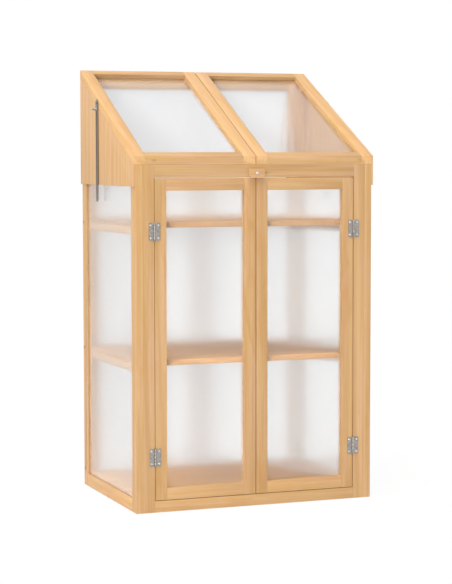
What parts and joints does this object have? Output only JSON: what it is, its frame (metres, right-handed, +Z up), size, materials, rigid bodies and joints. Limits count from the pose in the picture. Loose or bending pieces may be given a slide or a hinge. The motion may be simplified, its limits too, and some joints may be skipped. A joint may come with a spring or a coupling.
{
  "type": "mini greenhouse",
  "caption": "Upright wooden mini greenhouse with translucent panes, a pair of doors, slatted shelves and sloping lids held open by slotted stays with wing nuts.",
  "frame": {"origin": "on the ground, at the middle of the overall footprint", "axes": "+Z up, -Y towards the doors, +X to the right of someone facing the doors"},
  "size_m": [0.734, 0.5023, 1.2024],
  "materials": {
    "frame_wood": "planed fir, lightly oiled, grain along each piece",
    "gable_wood": "planed fir, grain upright",
    "shelf_wood": "planed fir, grain along the slats",
    "door_wood": "planed fir, lightly oiled",
    "lid_wood": "planed fir, lightly oiled",
    "button_wood": "planed fir, edges rounded",
    "polycarbonate": "frosted translucent sheet",
    "hinge_steel": "zinc plated",
    "pin_steel": "zinc plated",
    "screw_steel": "zinc plated",
    "stay_steel": "zinc plated",
    "bolt_steel": "zinc plated",
    "nut_steel": "zinc plated"
  },
  "bodies": {
    "cabinet": {"left_front_post": "frame_wood", "right_front_post": "frame_wood", "left_rear_post": "frame_wood", "right_rear_post": "frame_wood", "left_bottom_rail": "frame_wood", "right_bottom_rail": "frame_wood", "left_top_rail": "frame_wood", "right_top_rail": "frame_wood", "left_front_stile": "frame_wood", "right_front_stile": "frame_wood", "left_back_stile": "frame_wood", "right_back_stile": "frame_wood", "front_top_rail": "frame_wood", "front_bottom_rail": "frame_wood", "back_top_rail": "frame_wood", "back_bottom_rail": "frame_wood", "left_gable_board": "gable_wood", "right_gable_board": "gable_wood", "bottom_shelf": "shelf_wood", "middle_shelf": "shelf_wood", "upper_shelf": "shelf_wood", "shelf_battens": "shelf_wood", "left_side_pane": "polycarbonate", "right_side_pane": "polycarbonate", "back_pane": "polycarbonate", "fixed_hinge_leaves": "hinge_steel", "hinge_pins": "pin_steel", "cabinet_screws": "screw_steel", "stay_bolts": "bolt_steel"},
    "left_door": {"left_door_hinge_stile": "door_wood", "left_door_meeting_stile": "door_wood", "left_door_top_rail": "door_wood", "left_door_bottom_rail": "door_wood", "left_door_pane": "polycarbonate", "left_door_hinge_leaves": "hinge_steel"},
    "left_lid": {"left_lid_outer_stile": "lid_wood", "left_lid_inner_stile": "lid_wood", "left_lid_front_rail": "lid_wood", "left_lid_back_rail": "lid_wood", "left_lid_pane": "polycarbonate", "left_lid_hinge_leaves": "hinge_steel"},
    "left_stay_washer": {"left_stay_washer": "stay_steel"},
    "left_stay_bar": {"left_stay_bar": "stay_steel"},
    "left_wing_nut": {"left_wing_nut": "nut_steel"},
    "right_door": {"right_door_hinge_stile": "door_wood", "right_door_meeting_stile": "door_wood", "right_door_top_rail": "door_wood", "right_door_bottom_rail": "door_wood", "right_door_pane": "polycarbonate", "right_door_hinge_leaves": "hinge_steel"},
    "right_lid": {"right_lid_outer_stile": "lid_wood", "right_lid_inner_stile": "lid_wood", "right_lid_front_rail": "lid_wood", "right_lid_back_rail": "lid_wood", "right_lid_pane": "polycarbonate", "right_lid_hinge_leaves": "hinge_steel"},
    "right_stay_washer": {"right_stay_washer": "stay_steel"},
    "right_stay_bar": {"right_stay_bar": "stay_steel"},
    "right_wing_nut": {"right_wing_nut": "nut_steel"},
    "turn_button": {"turn_button": "button_wood"}
  },
  "joints": [
    {"name": "left_door", "type": "hinge", "parent": "cabinet", "child": "left_door", "pos_m": [-0.29125, -0.24225, 0.465], "axis": [0, 0, -1], "range_deg": [0, 180]},
    {"name": "left_lid", "type": "hinge", "parent": "cabinet", "child": "left_lid", "pos_m": [-0.1755, 0.24875, 1.18], "axis": [-1, 0, 0], "range_deg": [0, 80]},
    {"name": "left_stay_swivel", "type": "hinge", "parent": "cabinet", "child": "left_stay_washer", "pos_m": [-0.3505, 0.07825, 1.087], "axis": [-1, 0, 0], "range_deg": [0, 15.4]},
    {"name": "left_stay_slide", "type": "slide", "parent": "left_stay_washer", "child": "left_stay_bar", "axis": [0, 0, 1], "range_m": [0, 0.2384]},
    {"name": "left_wing_nut", "type": "hinge", "parent": "cabinet", "child": "left_wing_nut", "pos_m": [-0.356, 0.07825, 1.087], "axis": [1, 0, 0], "continuous": true},
    {"name": "right_door", "type": "hinge", "parent": "cabinet", "child": "right_door", "pos_m": [0.29125, -0.24225, 0.465], "axis": [0, 0, 1], "range_deg": [0, 180]},
    {"name": "right_lid", "type": "hinge", "parent": "cabinet", "child": "right_lid", "pos_m": [0.1755, 0.24875, 1.18], "axis": [-1, 0, 0], "range_deg": [0, 80]},
    {"name": "right_stay_swivel", "type": "hinge", "parent": "cabinet", "child": "right_stay_washer", "pos_m": [0.3505, 0.07825, 1.087], "axis": [-1, 0, 0], "range_deg": [0, 15.4]},
    {"name": "right_stay_slide", "type": "slide", "parent": "right_stay_washer", "child": "right_stay_bar", "axis": [0, 0, 1], "range_m": [0, 0.2384]},
    {"name": "right_wing_nut", "type": "hinge", "parent": "cabinet", "child": "right_wing_nut", "pos_m": [0.356, 0.07825, 1.087], "axis": [1, 0, 0], "continuous": true},
    {"name": "turn_button", "type": "hinge", "parent": "cabinet", "child": "turn_button", "pos_m": [0, -0.24475, 0.9105], "axis": [0, 1, 0], "continuous": true}
  ],
  "couplings": [
    {"joint": "left_stay_swivel", "follows": "left_lid", "ratio": 0.1916},
    {"joint": "left_stay_slide", "follows": "left_lid", "m_per_rad": 0.1706},
    {"joint": "right_stay_swivel", "follows": "right_lid", "ratio": 0.1916},
    {"joint": "right_stay_slide", "follows": "right_lid", "m_per_rad": 0.1706}
  ]
}
